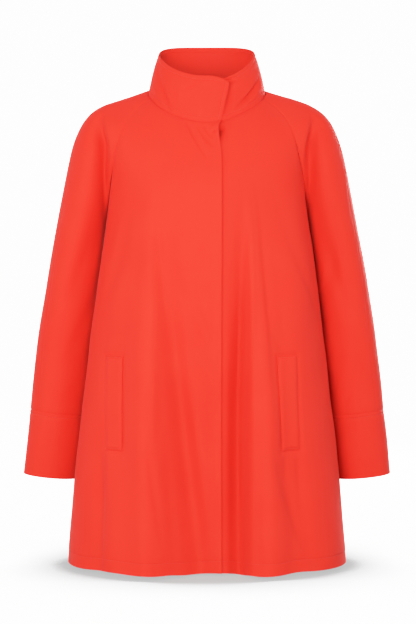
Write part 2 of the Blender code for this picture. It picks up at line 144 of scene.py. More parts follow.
# Folds of the sleeves: their line runs from a place on the yoke or arm to another, given as row and column
SleeveFold = namedtuple("SleeveFold", "head_row head_column foot_row foot_column width rise")
SLEEVE_FOLDS = (
    SleeveFold(0.38, 1.50, 0.95, 1.10, 0.10, -0.009),
    SleeveFold(0.42, 2.52, 0.95, 2.88, 0.11, -0.009),
    SleeveFold(1.00, 1.30, 1.42, 1.52, 0.07, -0.004),
    SleeveFold(1.20, 2.75, 1.50, 2.40, 0.08, -0.004),
)

# Pocket welts, by the x of their edges near and far from the front middle, at their top and bottom ends
Welt = namedtuple("Welt", "top_near top_far bottom_near bottom_far")
RIGHT_WELT = Welt(-0.1365, -0.1685, -0.1365, -0.1675)
LEFT_WELT = Welt(0.1140, 0.1455, 0.1210, 0.1525)
WELT_TOP_Z = -0.458
WELT_LENGTH = 0.156

# Creases, listed one by one: a bowed line through three places, its width and height in millimetres, and how
# much softer one side is
Crease = namedtuple("Crease", "head head_z bend bend_z foot foot_z width height lean")

# On the fronts, by x and z in millimetres
FRONT_CREASES = (
    (-34, -60, -20, -93, 3, -130, 3.4, -2.4, 0.3),
    (-26, -66, -10, -96, 8, -124, 6, 1.2, 0),
    (-16, -74, 2, -97, 24, -111, 4.5, -1.3, 0.3),
    (-5, -69, 5, -87, 15, -93, 3, -2.6, 0.2),
    (6, -86, 16, -79, 30, -78, 3.2, -3, 0),
    (-80, -160, -52, -480, -24, -760, 18, -8.5, 0.3),
    (-60, -480, -30, -690, 6, -1040, 28, -15, -0.3),
    (-82, -300, -75, -640, -46, -1000, 10, 6, 0),
    (-6, -260, -2, -600, 8, -960, 36, -10.5, 0),
    (-58, -300, -45, -350, -28, -415, 5.5, -1.3, 0.2),
    (-46, -350, -18, -395, 8, -450, 6, -1.4, 0.3),
    (-12, -370, 2, -400, 13, -440, 5, -1.1, -0.2),
    (-30, -430, -12, -470, 12, -500, 6.5, -1.2, 0.2),
    (104, -400, 112, -430, 124, -452, 6, -1.2, 0),
    (-86, -190, -80, -300, -66, -430, 6.5, -3.8, -0.3),
    (-81, -440, -75, -545, -83, -640, 6, -3.2, 0.2),
    (-93, -585, -80, -699, -54, -860, 5.8, -2.5, 0.3),
    (-178, -560, -175, -697, -178, -850, 11, -6, 0),
    (-175, -400, -172, -515, -176, -640, 6, -2, 0),
    (-128, -190, -152, -305, -184, -385, 9, -3.4, 0.3),
    (-152, -300, -160, -560, -162, -1000, 38, 4.5, 0),
    (-92, -200, -96, -560, -96, -1060, 22, 10, 0),
    (60, -200, 60, -580, 60, -1040, 16, -25, -0.75),
    (57, -220, 57.5, -600, 57.5, -1040, 7, -3.5, 0),
    (60, -480, 60, -780, 60, -1200, 50, -10, -0.75),
    (47, -300, 47, -600, 47, -1040, 11, -4.5, 0.3),
    (138, -120, 148, -300, 150, -520, 30, 8, 0),
    (-155, -600, -150, -800, -148, -1100, 30, 9, 0),
    (70.5, -220, 70.5, -580, 70.5, -1000, 7.5, 6.5, 0),
    (136, -160, 150, -600, 158, -1050, 38, 6, 0),
    (88, -185, 98, -364, 114, -600, 6.5, -3.4, 0.2),
    (110, -185, 143, -294, 184, -380, 6.5, -3.6, 0.3),
    (132, -187, 149, -206, 168, -226, 5, -1.8, 0),
    (104, -585, 134, -695, 196, -840, 13, -5.5, 0.3),
    (146, -595, 155, -680, 174, -800, 9, -2.8, 0.2),
    (150, -618, 152, -648, 156, -690, 4.5, -2, 0),
    (127, -620, 128, -640, 131, -665, 4.5, -1.4, 0),
    (-150, -618, -149, -650, -152, -690, 6, -1.4, 0),
)

# On the back, by x and z in millimetres
BACK_CREASES = (
    (-120, -190, -138, -270, -160, -350, 11, -2.4, 0.3),
    (-96, -185, -100, -300, -94, -440, 15, 1.8, 0),
    (-30, -240, -22, -420, -30, -600, 11, -2.2, -0.3),
    (-36, -560, -28, -680, -16, -860, 10, -2.4, 0.3),
    (30, -300, 40, -460, 38, -640, 10, -1.8, 0.3),
    (122, -195, 140, -275, 166, -345, 10, -2.6, -0.3),
    (104, -210, 110, -340, 118, -470, 12, 1.8, 0),
    (52, -590, 60, -700, 56, -860, 10, -2.2, 0),
    (-18, -30, -4, -50, 16, -52, 8, -1.2, 0),
    (-130, -560, -142, -670, -150, -790, 10, -2, 0.3),
    (146, -520, 156, -640, 166, -780, 10, -2, -0.3),
)

# On the sleeves, by column round the arm and z in millimetres
RIGHT_SLEEVE_CREASES = (
    (1.58, -45, 1.18, -128, 1.12, -235, 12, -15.5, 0.6),
    (1.52, -110, 1.44, -160, 1.36, -230, 9, 2.2, 0),
    (1.24, -215, 1.34, -300, 1.46, -410, 11, -2.4, 0.3),
    (1.18, -340, 1.32, -416, 1.48, -500, 9, -2.2, -0.3),
    (1.66, -260, 1.58, -360, 1.62, -480, 13, 1.4, 0),
    (1.22, -500, 1.36, -525, 1.52, -545, 7, -1.2, 0),
    (2.3, -150, 2.5, -200, 2.72, -230, 10, -2.2, 0.3),
    (2.74, -270, 2.58, -350, 2.46, -440, 11, -2.2, -0.3),
    (2.82, -380, 2.6, -440, 2.4, -470, 9, -2, 0.3),
    (2.2, -330, 2.28, -420, 2.24, -520, 13, 1.4, 0),
)
LEFT_SLEEVE_CREASES = (
    (1.58, -45, 1.18, -128, 1.12, -235, 12, -14, 0.6),
    (1.52, -115, 1.44, -165, 1.38, -240, 9, 2, 0),
    (1.5, -250, 1.39, -313, 1.22, -372, 7.5, -3.4, 0.3),
    (1.54, -468, 1.46, -512, 1.32, -548, 4.2, -2.6, 0.3),
    (1.5, -430, 1.42, -481, 1.3, -520, 7, 1.8, 0),
    (1.68, -250, 1.6, -350, 1.6, -470, 14, 1.4, 0),
    (2.34, -145, 2.52, -190, 2.74, -226, 10, -2.4, 0.3),
    (2.76, -290, 2.6, -360, 2.44, -420, 11, -2, -0.3),
    (2.8, -400, 2.62, -455, 2.42, -500, 9, -2.2, 0.3),
    (2.18, -300, 2.24, -400, 2.3, -510, 13, 1.4, 0),
)
SLEEVE_COLUMN_WIDTH = 0.12

# On the collar, by degrees round from the front towards the wearer's left and share of its height
COLLAR_CREASES = (
    (74, 0.5, 54, 0.34, 28, 0.12, 4, -6, 0.3),
    (86, 0.34, 56, 0.2, 34, 0.08, 4, 1.8, 0),
    (31, 0.78, 40, 0.77, 52, 0.79, 2.6, -1.6, 0),
    (27, 0.64, 38, 0.55, 50, 0.42, 3, -1.4, 0),
    (29, 0.86, 25, 0.45, 19, 0, 6, -6, 0),
    (36, 0.8, 28, 0.82, 16, 0.9, 5, -5, 0),
    (298, 0.56, 311, 0.3, 323, 0.02, 4, -5, 0.2),
    (282, 0.34, 300, 0.2, 318, 0.06, 4, 1.6, 0),
    (350, 1, 342, 0.78, 332, 0.56, 3.6, -1.2, 0.2),
    (325, 0.76, 324, 0.42, 326, 0.16, 5, -1.4, 0),
    (286, 0.8, 296, 0.62, 310, 0.52, 6, -1.6, 0),
    (58, 0.7, 68, 0.74, 82, 0.7, 5, -1.4, 0),
    (352, 0.2, 362, 0.42, 366, 0.7, 7, 1, 0),
    (110, 0.8, 118, 0.5, 122, 0.2, 7, -1.2, 0),
    (160, 0.3, 176, 0.44, 196, 0.34, 8, -1.3, 0.3),
    (236, 0.76, 244, 0.5, 246, 0.16, 7, -1.3, 0),
)
COLLAR_DEGREE_WIDTH = 0.0016
COLLAR_HEIGHT = 0.080
CREASE_STEPS = 10

# Slight unevenness of all the cloth: waves through space that neighbours share
Wave = namedtuple("Wave", "x y z phase height")
WAVES = (
    Wave(52.0, 31.0, 18.0, 0.4, 0.00032),
    Wave(-38.0, 44.0, 27.0, 2.1, 0.00028),
    Wave(71.0, -22.0, 49.0, 4.0, 0.00020),
    Wave(24.0, 63.0, -58.0, 1.2, 0.00022),
    Wave(-96.0, 40.0, 33.0, 5.3, 0.00012),
    Wave(88.0, 75.0, -41.0, 3.3, 0.00010),
)

# Front edge: a small gape under the collar's end, and how far the edge stands off the cloth below
NOTCH_Z = -0.079
NOTCH_RISE = 0.012
NOTCH_FALL = 0.030
NOTCH_DEPTH = 0.006
NOTCH_GAPE = 0.0045
NOTCH_GAPE_REACH = 0.014
NOTCH_PIT = 0.008
NOTCH_PIT_X = 0.0218
NOTCH_PIT_WIDTH = 0.006
NOTCH_PIT_LENGTH = 0.014
EDGE_STAND = 0.0030
EDGE_STAND_REACH = 0.009

# Pocket welts: depth and reach of the groove pressed in round them
WELT_PRESS = 0.0025
WELT_PRESS_REACH = 0.0032

# Cloth that is folded back hangs lower by this share of its depth
CREASE_SAG = 0.15

# Collar end: how far its point stands off the collar under it
COLLAR_POINT_START = np.radians(345.0)
COLLAR_POINT_STAND = 0.0100

# Neck seam: the collar's lowest part runs down inside the pieces it is sewn to
COLLAR_TUCK = 0.004
COLLAR_TUCK_SHARE = 0.045

# Seams, rims and sewing
BORDERS = ("left", "right", "top", "bottom")
SEAM_DIPS = {"seam": 0.0006, "cuff": 0.0014, "neck": 0.0024}
SEAM_ROLL = 0.0020
ARMPIT_CALM = 0.045
PUCKER = 0.00022
PUCKER_REACH = 0.006
PUCKER_LENGTHS = (0.017, 0.029, 0.047)
RIM_ROUNDING = 0.85
EDGE_STITCH = 0.007
WELT_STITCH = 0.004
HEM_STITCH = 0.020
HEM_PRESS = 0.0007
HEM_PRESS_RAMP = 0.004
STITCH_GROOVE = 0.0006
STITCH_GROOVE_WIDTH = 0.0012
STITCH_PITCH = 0.0032
STITCH_LENGTH = 0.0026
STITCH_WIDTH = 0.00055
STITCH_SIDES = 6
STITCH_RINGS = 4

# Softening of the bend where the shoulders meet the body and the arms
BEND_REACH = 0.14
BEND_CLEAR = 0.020
BEND_PASSES = 120

# Fineness of the cloth
EDGE_STEPS = (0.0, 0.0003, 0.0007, 0.0013, 0.0022, 0.0036)
GROOVE_STEPS = (-0.0018, -0.0009, 0.0, 0.0009, 0.0018)
NO_STEPS = (0.0,)
STEP_ROOM = 0.4
SPACING = 0.0042
BACK_SPACING = 0.0040
FRONT_SPACING = 0.0024
SLEEVE_SPACING = 0.0032
COLLAR_SPACING = 0.0030
WELT_SPACING = 0.0025
YOKE_LENGTH = 0.19
FRONT_WIDTH = 0.30
BACK_WIDTH = 0.56
SLEEVE_FRONT_WIDTH = 0.12
SLEEVE_BACK_WIDTH = 0.20
CUFF_GIRTH = 0.31
COLLAR_GIRTH = 0.62
WELT_WIDTH = 0.030
SHARP_ANGLE = np.radians(42.0)
NORMAL_STEP = 1e-4
HALVINGS = 40
WELD_DISTANCE = 1e-6


def ease(t):
    """Smooth step from 0 to 1 that starts and ends level."""
    t = np.clip(t, 0.0, 1.0)
    return t * t * (3.0 - 2.0 * t)


def mix(start, end, share):
    """What lies a share of the way from start to end."""
    return start + (end - start) * share


def bell(distance, reach):
    """A soft bump that is 1 at no distance and dies out past its reach."""
    return np.exp(-((distance / reach) ** 2))


def through(sections, z):
    """The columns of a table of sections at heights z, on smooth curves through its rows."""
    stations, *columns = np.array(sections).T
    stations = -stations
    at = np.clip(-z, stations[0], stations[-1])
    i = np.clip(np.searchsorted(stations, at) - 1, 0, len(stations) - 2)
    span = stations[i + 1] - stations[i]
    t = (at - stations[i]) / span
    curves = []
    for values in columns:
        slopes = np.gradient(values, stations)
        start = slopes[i] * span * t * (1.0 - t) ** 2
        end = slopes[i + 1] * span * t * t * (1.0 - t)
        curves.append(mix(values[i], values[i + 1], ease(t)) + start - end)
    return curves


def oval(angle, half_x, half_y, roundness):
    """A point of an oval at a true angle from -Y towards +X."""
    reach = (np.abs(np.sin(angle)) / half_x) ** roundness + (np.abs(np.cos(angle)) / half_y) ** roundness
    reach = reach ** (-1.0 / roundness)
    return reach * np.sin(angle), -reach * np.cos(angle)


def ring_point(ring, angle):
    """A point of the neck seam or the collar's top edge, at an angle from the front to the wearer's left."""
    ends = 0.5 * (ring.front_z + ring.back_z)
    level = 0.5 * (ends + ring.side_z)
    tilt = 0.5 * (ring.back_z - ring.front_z)
    saddle = 0.5 * (ends - ring.side_z)
    x = ring.half_width * np.sin(angle)
    y = ring.middle_y - ring.half_depth * np.cos(angle)
    z = level - tilt * np.cos(angle) + saddle * np.cos(2.0 * angle)
    return np.stack([x, y, z], axis=-1)


def body_ring(z, column):
    """The body's section at height z. Column 0 is the front middle, 1 and 3 the side, 4 the back middle."""
    front = column < 2.0
    angle = np.where(front, column, column - 2.0) * np.pi / 2.0
    width, front_depth, back_depth, front_bulge, back_bulge = through(BODY_SECTIONS, z)
    depth = np.where(front, front_depth, back_depth)
    x, y = oval(angle, width, depth, np.where(front, front_bulge, back_bulge))
    return np.stack([x, y, z + 0.0 * x], axis=-1)


def sleeve_ring(z, column):
    """The sleeve's section at height z. Columns 1 and 3 are its inner line and 2 is its outer line."""
    angle = (column - 2.0) * np.pi
    inner, outer, inner_y, outer_y, half_y, tilt = through(SLEEVE_SECTIONS, z)
    along, across = oval(angle + np.pi / 2.0, 0.5 * (outer - inner), half_y, SLEEVE_ROUNDNESS)
    x = 0.5 * (inner + outer) + along
    y = mix(inner_y, outer_y, (x - inner) / (outer - inner)) + across
    return np.stack([x, y, z + tilt * along], axis=-1)


def yoke(row, column, ring):
    """The shoulders from the neck seam, row 0, to armpit height, row 1, drawn in there to a panel's ring."""
    front = column <= 2.0
    side_column = np.where(front, column, 4.0 - column)
    on_body = side_column <= 1.0
    short = np.clip(1.0 - side_column, 0.0, 1.0)

    def ring_angle(seam_front, seam_back, spread):
        seam = np.where(front, seam_front, seam_back)
        on_sleeve = mix(seam, np.pi / 2.0, side_column - 1.0)
        return np.where(on_body, seam * (1.0 - short ** spread), on_sleeve)

    neck_angle = ring_angle(RAGLAN_NECK_FRONT, RAGLAN_NECK_BACK, NECK_SPREAD)
    start = ring_point(NECK_RING, np.where(front, neck_angle, np.pi - neck_angle))
    yoke_angle = ring_angle(RAGLAN_YOKE_FRONT, RAGLAN_YOKE_BACK, YOKE_SPREAD)
    depth = np.where(front, BODY_SECTIONS[0].front_depth, BODY_SECTIONS[0].back_depth)
    x, y = oval(yoke_angle, SLEEVE_SECTIONS[0].outer_x, depth, YOKE_ROUNDNESS)
    end = np.stack([x, np.where(front, y, -y), ARMPIT_Z + 0.0 * x], axis=-1)

    side_share = (np.sin(side_column * np.pi / 4.0) ** 2)[..., None]
    is_front = front[..., None]
    leave = mix(np.where(is_front, FRONT_LEAVE, BACK_LEAVE), np.array(SIDE_LEAVE), side_share)
    arrive = mix(np.where(is_front, FRONT_ARRIVE, BACK_ARRIVE), np.array(SIDE_ARRIVE), side_share)

    s = row[..., None]
    smooth = start * (1.0 - s) ** 3 + (start + leave) * 3.0 * s * (1.0 - s) ** 2
    smooth = smooth + (end + arrive) * 3.0 * s * s * (1.0 - s) + end * s ** 3

    drawn = ring(np.full_like(column, ARMPIT_Z), column)
    pinch = np.clip((row - ARMPIT_PINCH_START) / (1.0 - ARMPIT_PINCH_START), 0.0, 1.0)[..., None] ** 2
    return smooth + (drawn - end) * pinch


def panel_base(row, column, ring, last_z):
    """A panel without folds: yoke rows 0 to 1, then rows 1 to 2 from the armpit to its last height."""
    z = mix(ARMPIT_Z, last_z, np.clip(row - 1.0, 0.0, 1.0))
    upper = yoke(np.clip(row, 0.0, 1.0), column, ring)
    return np.where((row < 1.0)[..., None], upper, ring(z, column))


def body_base(row, column):
    """The body without folds, down to the hem."""
    return panel_base(row, column, body_ring, HEM_Z)


def sleeve_base(row, column):
    """The sleeve without folds, down to the end of the cuff."""
    return panel_base(row, column, sleeve_ring, CUFF_END_Z)


def normals(surface, row, column):
    """Outward unit normals of a surface whose columns run from the front, round the side, to the back."""
    down = surface(row + NORMAL_STEP, column) - surface(row - NORMAL_STEP, column)
    along = surface(row, column + NORMAL_STEP) - surface(row, column - NORMAL_STEP)
    across = np.cross(down, along)
    return across / np.linalg.norm(across, axis=-1, keepdims=True)


def column_at(row, x):
    """The front's column whose plain surface lies at x across, found by halving."""
    low = np.zeros_like(row)
    high = np.ones_like(row)
    for _ in range(HALVINGS):
        middle = 0.5 * (low + high)
        short = body_base(row, middle)[..., 0] < np.abs(x)
        low = np.where(short, middle, low)
        high = np.where(short, high, middle)
    return np.sign(x) * 0.5 * (low + high)


def fold_height(folds, x, z):
    """How far the folds of a table stand out at x across the panel and height z."""
    height = np.zeros_like(x)
    for fold in (Fold(*np.multiply(row, MM)) for row in folds):
        t = np.clip((fold.head_z - z) / (fold.head_z - HEM_Z), 0.0, 1.0)
        middle = mix(fold.head_x, fold.foot_x, t)
        width = mix(fold.head_width, fold.foot_width, t)
        height = height + fold.rise * ease(FOLD_GROWTH * t) * bell(x - middle, width)
    return height


def bowed(start, middle, end, t):
    """A smooth curve from start to end that passes through middle half way."""
    pull = 2.0 * middle - 0.5 * (start + end)
    return start * (1.0 - t) ** 2 + pull * 2.0 * t * (1.0 - t) + end * t * t


def crease_height(creases, across, down, across_unit=MM, down_unit=MM):
    """How far creases stand out: each fades at both ends and is softer on one side of its line."""
    place = across + 1j * down
    height = np.zeros_like(across)
    t = np.linspace(0.0, 1.0, CREASE_STEPS + 1)
    for crease in (Crease(*row) for row in creases):
        line_x = bowed(crease.head, crease.bend, crease.foot, t) * across_unit
        line_z = bowed(crease.head_z, crease.bend_z, crease.foot_z, t) * down_unit
        line = line_x + 1j * line_z
        nearest = np.full_like(across, np.inf)
        along = np.zeros_like(across)
        side = np.zeros_like(across)
        for i, step in enumerate(np.diff(line)):
            past = (place - line[i]) / step
            share = np.clip(past.real, 0.0, 1.0)
            gap = np.abs(past - share) * np.abs(step)
            closer = gap < nearest
            nearest = np.where(closer, gap, nearest)
            along = np.where(closer, (i + share) / CREASE_STEPS, along)
            side = np.where(closer, np.sign(past.imag), side)
        width = crease.width * MM
        width = width * (1.0 + crease.lean * np.tanh(side * nearest / width))
        height = height + crease.height * MM * np.sin(np.pi * along) * bell(nearest, width)
    return height


def unevenness(points):
    """A slight waviness by place, so that pieces that meet at a seam share it."""
    height = np.zeros(points.shape[:-1])
    for wave in WAVES:
        turn = points @ np.array([wave.x, wave.y, wave.z]) + wave.phase
        height = height + wave.height * np.sin(turn)
    return height


def armpit_calm(points):
    """Goes to 0 at the armpits, where seams and unevenness die out so that the pieces stay close together."""
    offset = np.abs(points) - np.array([BODY_SECTIONS[0].half_width, 0.0, -ARMPIT_Z])
    return 1.0 - bell(np.linalg.norm(offset, axis=-1), ARMPIT_CALM)


def soft_bend(points, rows):
    """A sheet's points with the bend at armpit height softened, away from its seams."""
    left, right, _, _ = from_borders(points)
    share = bell(rows - 1.0, BEND_REACH)[:, None] * ease(np.minimum(left, right) / BEND_CLEAR)
    softer = points.copy()
    for _ in range(BEND_PASSES):
        level = 0.25 * (softer[:-2] + softer[2:]) - 0.5 * softer[1:-1]
        softer[1:-1] += share[1:-1, :, None] * level
    return softer


def welt_press(x, z):
    """The groove that is pressed into a front round its pocket welt."""
    down = (WELT_TOP_Z - z) / WELT_LENGTH
    groove = np.zeros_like(x)
    for welt in (RIGHT_WELT, LEFT_WELT):
        near = mix(welt.top_near, welt.bottom_near, down)
        far = mix(welt.top_far, welt.bottom_far, down)
        across = np.abs(x - 0.5 * (near + far)) - 0.5 * np.abs(far - near)
        along = (np.abs(down - 0.5) - 0.5) * WELT_LENGTH
        groove = groove - WELT_PRESS * bell(np.maximum(across, along), WELT_PRESS_REACH)
    return groove


def body_cloth(row, column, face, under=False):
    """A body panel's outer face and the way out of it: column -1 is the wearer's right side, 1 the left."""
    side = np.where(column < 0.0, -1.0, 1.0)
    ring_column = np.abs(column) if face == "front" else 4.0 - np.abs(column)
    mirror = np.stack([side, np.ones_like(side), np.ones_like(side)], axis=-1)
    base = body_base(row, ring_column) * mirror
    out = normals(body_base, row, ring_column) * mirror
    x = base[..., 0]
    z = base[..., 2]
    height = fold_height(FRONT_FOLDS if face == "front" else BACK_FOLDS, x, z)
    dip = np.zeros_like(base)
    dip[..., 2] = -HEM_DIP * height
    fine = crease_height(FRONT_CREASES if face == "front" else BACK_CREASES, x, z) + unevenness(base)
    fine = fine * armpit_calm(base)
    if face == "front":
        fine = fine + welt_press(x, z)
    height = height + fine
    dip[..., 2] += CREASE_SAG * fine
    if under:
        height = height - OVERLAP_STEP * ease((FRONT_EDGE_X + OVERLAP_RAMP - x) / OVERLAP_RAMP)
        from_pit = np.hypot((x - NOTCH_PIT_X) / NOTCH_PIT_WIDTH, (z - NOTCH_Z) / NOTCH_PIT_LENGTH)
        height = height - NOTCH_PIT * bell(from_pit, 1.0)
    return base + out * height[..., None] + dip, out


def sleeve_cloth(row, column, side):
    """The outer face of the wearer's left sleeve, side 1, or right one, side -1, and the way out of it."""
    base = sleeve_base(row, column)
    mirror = np.array([side, 1.0, 1.0])
    creases = LEFT_SLEEVE_CREASES if side > 0.0 else RIGHT_SLEEVE_CREASES
    height = crease_height(creases, column * SLEEVE_COLUMN_WIDTH, base[..., 2], SLEEVE_COLUMN_WIDTH)
    height = (height + unevenness(base * mirror)) * armpit_calm(base)
    for fold in SLEEVE_FOLDS:
        t = np.clip((row - fold.head_row) / (fold.foot_row - fold.head_row), 0.0, 1.0)
        middle = mix(fold.head_column, fold.foot_column, t)
        height = height + fold.rise * np.sin(np.pi * t) ** 2 * bell(column - middle, fold.width)
    out = normals(sleeve_base, row, column)
    points = (base + out * height[..., None]) * mirror
    out = out * mirror
    return (points, out) if side > 0.0 else (points[:, ::-1], out[:, ::-1])


def steps(length, spacing, start=EDGE_STEPS, end=EDGE_STEPS):
    """Shares from 0 to 1 along a length: evenly spaced, and closer at the given distances from its ends."""
    even = np.linspace(0.0, 1.0, round(length / spacing) + 1)
    near = np.array(start) / length
    far = 1.0 - np.array(end) / length
    room = STEP_ROOM * spacing / length
    special = np.sort(np.concatenate([near, far]))
    apart = np.abs(even[:, None] - special[None, :]).min(axis=1) > room
    past_start = (even > near[:len(EDGE_STEPS)].max()) & (even < far[:len(EDGE_STEPS)].min())
    return np.unique(np.concatenate([special, even[apart & past_start]]))


def sewn_steps(inset):
    """Distances from an edge that give it a round rim, and a groove where it is stitched."""
    return EDGE_STEPS + tuple(inset + step for step in GROOVE_STEPS)


def panel_rows():
    """Rows of a body panel from the neck seam to the hem."""
    upper = steps(YOKE_LENGTH, SPACING, end=NO_STEPS)
    lower = 1.0 + steps(ARMPIT_Z - HEM_Z, SPACING, start=NO_STEPS, end=sewn_steps(HEM_STITCH))
    return np.concatenate([upper[:-1], lower])


def edge_x(z):
    """Where the covering front's edge runs: it draws back a little under the collar's end."""
    reach = np.where(z > NOTCH_Z, NOTCH_RISE, NOTCH_FALL)
    return FRONT_EDGE_X - NOTCH_DEPTH * bell(z - NOTCH_Z, reach)


def spread_columns(rows, start, end, share):
    """Rows and columns of a sheet whose every row runs from its start column to its end column."""
    column = mix(start[:, None], end[:, None], share)
    return np.repeat(rows[:, None], column.shape[1], axis=1), column


def front_cloth(side):
    """One front, from its edge to the side: the right one covers, and the left one runs on under it."""
    rows = panel_rows()
    middle_z = body_base(rows, np.zeros_like(rows))[..., 2]
    edge = np.full_like(rows, FRONT_EDGE_X) if side > 0.0 else edge_x(middle_z)
    start = -side * column_at(rows, edge)
    share = steps(FRONT_WIDTH, FRONT_SPACING)
    row, column = spread_columns(rows, start, np.full_like(rows, side), share)
    if side < 0.0:
        column = column[:, ::-1]
    points, out = body_cloth(row, column, "front", under=side > 0.0)
    points = soft_bend(points, rows)
    if side < 0.0:
        from_edge = from_borders(points)[1]
        gape = NOTCH_GAPE * bell(points[..., 2] - NOTCH_Z, NOTCH_RISE)
        lift = gape * bell(from_edge, NOTCH_GAPE_REACH) + EDGE_STAND * bell(from_edge, EDGE_STAND_REACH)
        points = points + out * lift[..., None]
    return points, out


def back_cloth():
    """The back, from the wearer's left side to the right as seen from behind."""
    rows = panel_rows()
    share = steps(BACK_WIDTH, BACK_SPACING)
    row, column = np.meshgrid(rows, 1.0 - 2.0 * share, indexing="ij")
    points, out = body_cloth(row, column, "back")
    return soft_bend(points, rows), out


def half_sleeve_cloth(face, side):
    """The front or back piece of a sleeve, split along the overarm seam."""
    upper = steps(YOKE_LENGTH, SPACING, end=NO_STEPS)
    arm = mix(1.0, CUFF_SEAM_ROW, steps(ARMPIT_Z - CUFF_SEAM_Z, SPACING, start=NO_STEPS))
    rows = np.concatenate([upper[:-1], arm])
    overarm = 2.0 - OVERARM_FORWARD * ease(rows)
    start, end = (np.ones_like(rows), overarm) if face == "front" else (overarm, np.full_like(rows, 3.0))
    share = steps(SLEEVE_FRONT_WIDTH if face == "front" else SLEEVE_BACK_WIDTH, SLEEVE_SPACING)
    points, out = sleeve_cloth(*spread_columns(rows, start, end, share), side)
    return soft_bend(points, rows), out


def cuff_cloth(side):
    """A cuff, once round from the inner line back to it."""
    down = steps(CUFF_SEAM_Z - CUFF_END_Z, SLEEVE_SPACING, start=sewn_steps(EDGE_STITCH))
    rows = mix(CUFF_SEAM_ROW, 2.0, down)
    round_arm = 1.0 + 2.0 * steps(CUFF_GIRTH, SLEEVE_SPACING, start=NO_STEPS, end=NO_STEPS)
    row, column = np.meshgrid(rows, round_arm, indexing="ij")
    return sleeve_cloth(row, column, side)


def collar_cloth():
    """The collar from its covered end, round the left, back and right, to the covering end."""
    sewn = sewn_steps(EDGE_STITCH)
    heights = 1.0 - steps(COLLAR_HEIGHT, COLLAR_SPACING, start=sewn, end=sewn)
    shares = steps(COLLAR_GIRTH, COLLAR_SPACING, end=sewn)
    height, share = np.meshgrid(heights, shares, indexing="ij")
    over_end = 2.0 * np.pi + mix(COLLAR_OVER_END_BASE, COLLAR_OVER_END_TOP, height)
    angle = mix(COLLAR_UNDER_END, over_end, share)
    covered = 1.0 - ease((angle - COLLAR_RECESS_START) / COLLAR_RECESS_RUN)
    under_droop = 1.0 - ease((angle - COLLAR_UNDER_DROOP_END) / COLLAR_UNDER_DROOP_RUN)
    past_middle = np.maximum(angle - 2.0 * np.pi, 0.0)
    over_droop = (past_middle / COLLAR_OVER_END_TOP) ** 2
    reach = height * (1.0 - np.maximum(COLLAR_UNDER_DROOP * under_droop, COLLAR_OVER_DROOP * over_droop))
    points = mix(ring_point(NECK_RING, angle), ring_point(COLLAR_TOP_RING, angle), reach[..., None])
    out = np.stack([np.sin(angle), -np.cos(angle), np.zeros_like(angle)], axis=-1)
    push = COLLAR_BULGE * np.sin(np.pi * reach) - COLLAR_STEP * covered
    along = np.degrees(angle) * COLLAR_DEGREE_WIDTH
    up = reach * COLLAR_HEIGHT
    push = push + crease_height(COLLAR_CREASES, along, up, COLLAR_DEGREE_WIDTH, COLLAR_HEIGHT)
    point_run = 2.0 * np.pi + COLLAR_OVER_END_TOP - COLLAR_POINT_START
    push = push + COLLAR_POINT_STAND * ease((angle - COLLAR_POINT_START) / point_run) * reach
    push = push + unevenness(points)
    points = points + out * push[..., None]
    points[..., 2] -= COLLAR_TUCK * ease(1.0 - height / COLLAR_TUCK_SHARE)
    return points, out


def welt_cloth(welt):
    """A pocket welt: the front's own surface inside its outline, moved out."""
    down = steps(WELT_LENGTH, WELT_SPACING, sewn_steps(WELT_STITCH), sewn_steps(WELT_STITCH))
    rows = 1.0 + (WELT_TOP_Z - WELT_LENGTH * down - ARMPIT_Z) / (HEM_Z - ARMPIT_Z)
    near = column_at(rows, mix(welt.top_near, welt.bottom_near, down))
    far = column_at(rows, mix(welt.top_far, welt.bottom_far, down))
    share = steps(WELT_WIDTH, WELT_SPACING)
    row, column = spread_columns(rows, np.minimum(near, far), np.maximum(near, far), share)
    points, out = body_cloth(row, column, "front", under=welt.top_near > 0.0)
    return points + out * (SEAM_GAP + WELT_CLOTH), out


def from_borders(points):
    """How far each point of a sheet is from its left, right, top and bottom borders, along the cloth."""
    across = np.linalg.norm(np.diff(points, axis=1), axis=-1).cumsum(axis=1)
    left = np.pad(across, ((0, 0), (1, 0)))
    down = np.linalg.norm(np.diff(points, axis=0), axis=-1).cumsum(axis=0)
    top = np.pad(down, ((1, 0), (0, 0)))
    return left, left[:, -1:] - left, top, top[-1:] - top


def cut_size(points):
    """A sheet's greatest width and length and its area, along the cloth."""
    left, _, top, _ = from_borders(points)
    one_way = np.cross(points[1:, :-1] - points[:-1, :-1], points[:-1, 1:] - points[:-1, :-1])
    other_way = np.cross(points[1:, :-1] - points[1:, 1:], points[:-1, 1:] - points[1:, 1:])
    area = 0.5 * (np.linalg.norm(one_way, axis=-1) + np.linalg.norm(other_way, axis=-1)).sum()
    return (left[:, -1].max(), top[-1].max()), area


def ripple(along):
    """An uneven wave along a seam, between -1 and 1."""
    parts = [np.sin(2.0 * np.pi * along / length + length / MM) for length in PUCKER_LENGTHS]
    return sum(parts) / len(parts)


